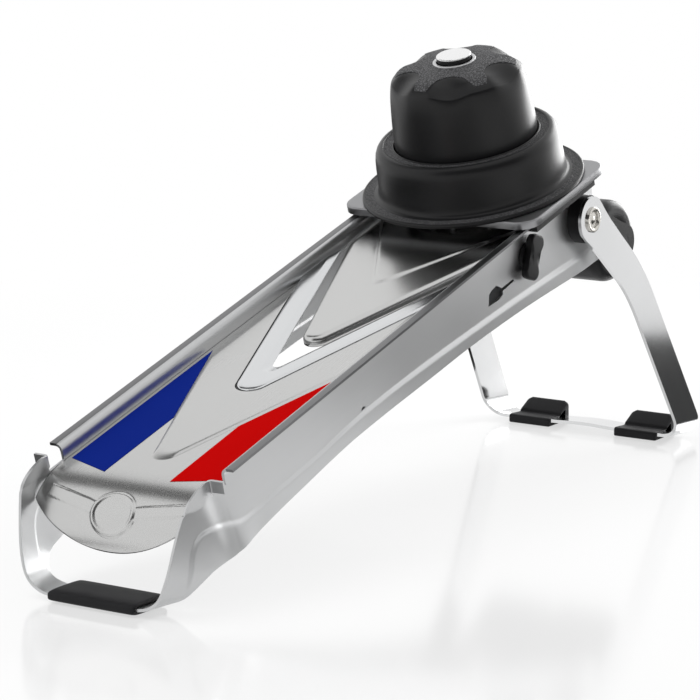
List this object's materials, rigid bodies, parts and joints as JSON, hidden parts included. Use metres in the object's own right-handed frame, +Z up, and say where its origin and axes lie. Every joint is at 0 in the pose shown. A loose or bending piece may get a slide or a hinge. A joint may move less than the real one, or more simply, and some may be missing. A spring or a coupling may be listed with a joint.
{
  "type": "mandoline slicer",
  "caption": "Adjustable V-blade mandoline slicer: sloping steel body on a folding rear leg, hinged feed ramp set by a roller, and a round food pusher on a sliding carriage.",
  "frame": {"origin": "on the floor, under the middle of the standing object", "axes": "+X towards the high end with the leg, +Y to the left side plate, +Z up"},
  "size_m": [0.517, 0.1388, 0.251],
  "materials": {
    "side_steel": "satin",
    "deck_steel": "brushed",
    "blade_steel": "polished",
    "carriage_steel": "satin",
    "polished_steel": "mirror",
    "plain_steel": "turned",
    "black_rubber": "matte",
    "black_plastic": "fine grain",
    "grey_plastic": "smooth",
    "blue_film": "gloss",
    "red_film": "gloss",
    "silver_button": "polished"
  },
  "bodies": {
    "frame": {"left_side_plate": "side_steel", "right_side_plate": "side_steel", "front_foot_sleeve": "black_rubber", "receiving_plate": "deck_steel", "blue_stripe": "blue_film", "red_stripe": "red_film", "v_blade": "blade_steel", "tie_rod": "plain_steel", "leg_axle": "plain_steel", "left_leg_spacer": "black_plastic", "right_leg_spacer": "black_plastic", "pivot_screws": "plain_steel", "left_roller_arm": "black_plastic", "right_roller_arm": "black_plastic", "cassette_socket": "black_plastic"},
    "leg": {"rear_leg": "polished_steel", "left_foot_pad": "black_rubber", "right_foot_pad": "black_rubber"},
    "roller": {"left_roller": "black_plastic", "right_roller": "black_plastic", "roller_shaft": "plain_steel", "thickness_cam": "black_plastic"},
    "ramp": {"feed_ramp": "deck_steel", "left_hinge_lug": "black_plastic", "right_hinge_lug": "black_plastic", "cam_follower": "black_plastic"},
    "lever": {"lock_lever": "black_plastic", "lever_collar": "black_plastic", "lever_shaft": "plain_steel", "lever_ring": "black_plastic"},
    "carriage": {"carriage_plate": "carriage_steel", "left_runner": "black_plastic", "right_runner": "black_plastic", "pusher_guard": "black_plastic"},
    "pusher": {"pusher_cap": "black_plastic", "star_grip": "black_plastic", "cap_ring": "grey_plastic", "prong_plate": "black_plastic", "prongs": "plain_steel", "eject_spring": "plain_steel"},
    "button": {"eject_button": "silver_button", "button_post": "black_plastic", "ejector_stem": "black_plastic", "ejector_plate": "black_plastic"}
  },
  "joints": [
    {"name": "leg_fold", "type": "hinge", "parent": "frame", "child": "leg", "pos_m": [0.13641, 0, 0.14964], "axis": [0, 1, 0], "range_deg": [0, 95]},
    {"name": "carriage_slide", "type": "slide", "parent": "frame", "child": "carriage", "axis": [-0.9598, 0, -0.2807], "range_m": [0, 0.279]},
    {"name": "pusher_lift", "type": "slide", "parent": "carriage", "child": "pusher", "axis": [-0.2807, 0, 0.9598], "range_m": [0, 0.033]},
    {"name": "button_press", "type": "slide", "parent": "pusher", "child": "button", "axis": [0.2807, 0, -0.9598], "range_m": [0, 0.0026], "stiffness_N_per_m": 400, "springref_m": -0.003, "deforming": ["eject_spring"]},
    {"name": "roller_turn", "type": "hinge", "parent": "frame", "child": "roller", "pos_m": [0.19543, 0, 0.12772], "axis": [0, 1, 0], "range_deg": [0, 180]},
    {"name": "ramp_tilt", "type": "hinge", "parent": "frame", "child": "ramp", "pos_m": [0.13641, 0, 0.14964], "axis": [0, 1, 0], "range_deg": [-2.8, 0]},
    {"name": "lever_turn", "type": "hinge", "parent": "frame", "child": "lever", "pos_m": [0.07642, 0, 0.13564], "axis": [0, 1, 0], "range_deg": [0, 90]}
  ],
  "couplings": [
    {"joint": "ramp_tilt", "follows": "roller_turn", "ratio": -0.015556}
  ]
}
